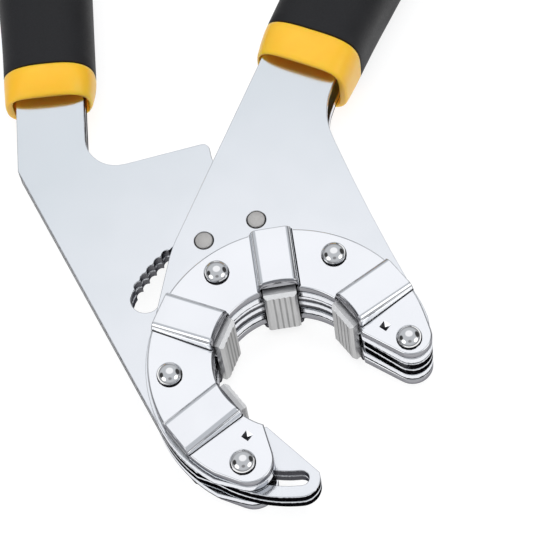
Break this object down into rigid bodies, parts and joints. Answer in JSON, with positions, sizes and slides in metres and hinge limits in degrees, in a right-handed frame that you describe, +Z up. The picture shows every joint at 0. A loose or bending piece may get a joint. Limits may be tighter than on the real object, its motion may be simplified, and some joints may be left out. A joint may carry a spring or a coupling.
{
  "type": "open head squeeze wrench",
  "caption": "Open-ended hand wrench of stacked steel plates, with sliding jaws that close together when its two sleeved handles are squeezed.",
  "frame": {"origin": "middle of the wrench's footprint, on the plane it lies on", "axes": "+Z up out of the front cover of the head, +Y from the head's tail end towards the far ends of the grips, +X towards the first head rivet"},
  "size_m": [0.147, 0.24, 0.0236],
  "materials": {
    "plate_chrome": "polished",
    "rivet_chrome": "mirror",
    "pin_steel": "ground matt",
    "jaw_steel": "ground along the slide",
    "core_plastic": "moulded satin yellow",
    "sleeve_rubber": "fine matt grain"
  },
  "bodies": {
    "right_handle": {"front_cover": "plate_chrome", "rear_cover": "plate_chrome", "right_plate_front": "plate_chrome", "right_plate_rear": "plate_chrome", "head_rivet_1": "rivet_chrome", "head_rivet_2": "rivet_chrome", "head_rivet_3": "rivet_chrome", "head_rivet_4": "rivet_chrome", "head_rivet_5": "rivet_chrome", "guide_pin_1": "pin_steel", "guide_pin_2": "pin_steel", "right_tang_spacer": "pin_steel", "right_tang_rivet_1": "pin_steel", "right_tang_rivet_2": "pin_steel", "right_grip_core": "core_plastic", "right_grip_sleeve": "sleeve_rubber"},
    "left_handle": {"left_plate_front": "plate_chrome", "left_plate_rear": "plate_chrome", "left_tang_rivet_1": "pin_steel", "left_tang_rivet_2": "pin_steel", "left_grip_core": "core_plastic", "left_grip_sleeve": "sleeve_rubber"},
    "sliding_jaw_1": {"jaw_1": "jaw_steel", "jaw_pin_1": "pin_steel"},
    "sliding_jaw_2": {"jaw_2": "jaw_steel", "jaw_pin_2": "pin_steel"},
    "sliding_jaw_3": {"jaw_3": "jaw_steel", "jaw_pin_3": "pin_steel"},
    "sliding_jaw_4": {"jaw_4": "jaw_steel", "jaw_pin_4": "pin_steel"}
  },
  "joints": [
    {"name": "handle_squeeze", "type": "hinge", "parent": "right_handle", "child": "left_handle", "pos_m": [-0.01382, -0.08814, 0.01179], "axis": [0, 0, -1], "range_deg": [0, 26.5]},
    {"name": "jaw_1_slide", "type": "slide", "parent": "right_handle", "child": "sliding_jaw_1", "axis": [-0.866, -0.5, 0], "range_m": [0, 0.0085]},
    {"name": "jaw_2_slide", "type": "slide", "parent": "right_handle", "child": "sliding_jaw_2", "axis": [0, -1, 0], "range_m": [0, 0.0085]},
    {"name": "jaw_3_slide", "type": "slide", "parent": "right_handle", "child": "sliding_jaw_3", "axis": [0.866, -0.5, 0], "range_m": [0, 0.0085]},
    {"name": "jaw_4_slide", "type": "slide", "parent": "right_handle", "child": "sliding_jaw_4", "axis": [0.866, 0.5, 0], "range_m": [0, 0.0085]}
  ],
  "couplings": [
    {"joint": "jaw_1_slide", "follows": "handle_squeeze", "m_per_rad": 0.018379},
    {"joint": "jaw_2_slide", "follows": "handle_squeeze", "m_per_rad": 0.018379},
    {"joint": "jaw_3_slide", "follows": "handle_squeeze", "m_per_rad": 0.018379},
    {"joint": "jaw_4_slide", "follows": "handle_squeeze", "m_per_rad": 0.018379}
  ]
}
